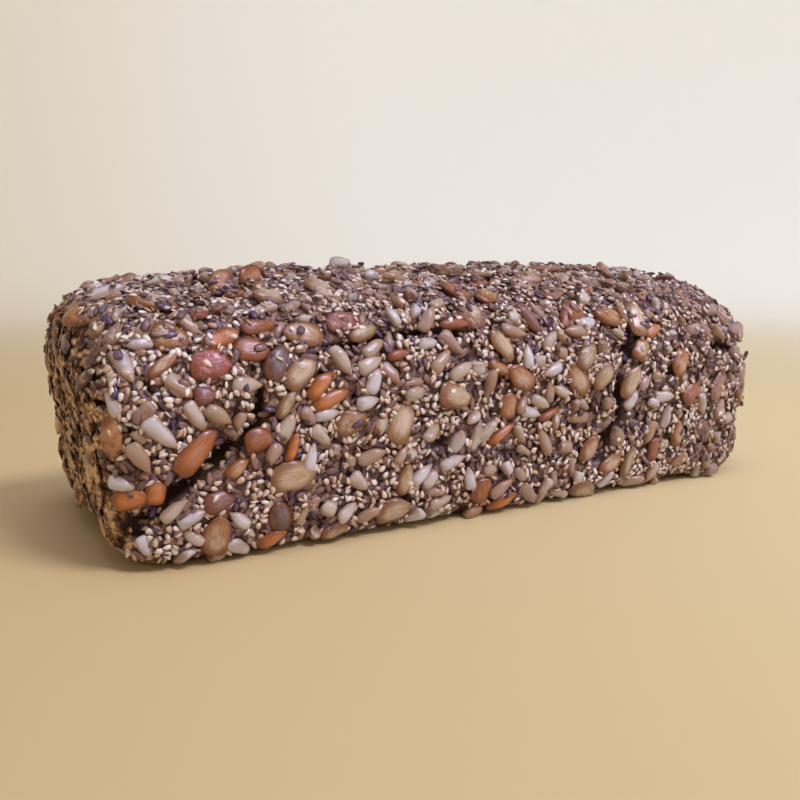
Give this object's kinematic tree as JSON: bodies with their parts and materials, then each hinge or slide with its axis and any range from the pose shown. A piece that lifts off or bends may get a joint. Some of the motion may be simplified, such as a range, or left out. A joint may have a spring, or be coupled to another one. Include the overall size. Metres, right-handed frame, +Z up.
{
  "type": "seeded multigrain loaf",
  "caption": "Tin-baked brick of dense bread with a low crown, rolled folds in its sides, and a crust of pumpkin, sunflower and finer seeds all over.",
  "frame": {"origin": "middle of the flat underside, on the surface that the loaf rests on", "axes": "+X along the loaf, +Z up, and the long side with the deepest fold faces -Y"},
  "size_m": [0.2481, 0.0992, 0.0793],
  "materials": {
    "crust": "baked dark brown crust, dull with some waxy sheen",
    "pumpkin_seed": "roasted kernel, satin",
    "sunflower_kernel": "grey-tan kernel, satin",
    "linseed": "dark brown seed coat, glossy",
    "sesame": "pale toasted seed, satin"
  },
  "bodies": {
    "root": {"seeded_loaf": "crust"}
  },
  "joints": []
}
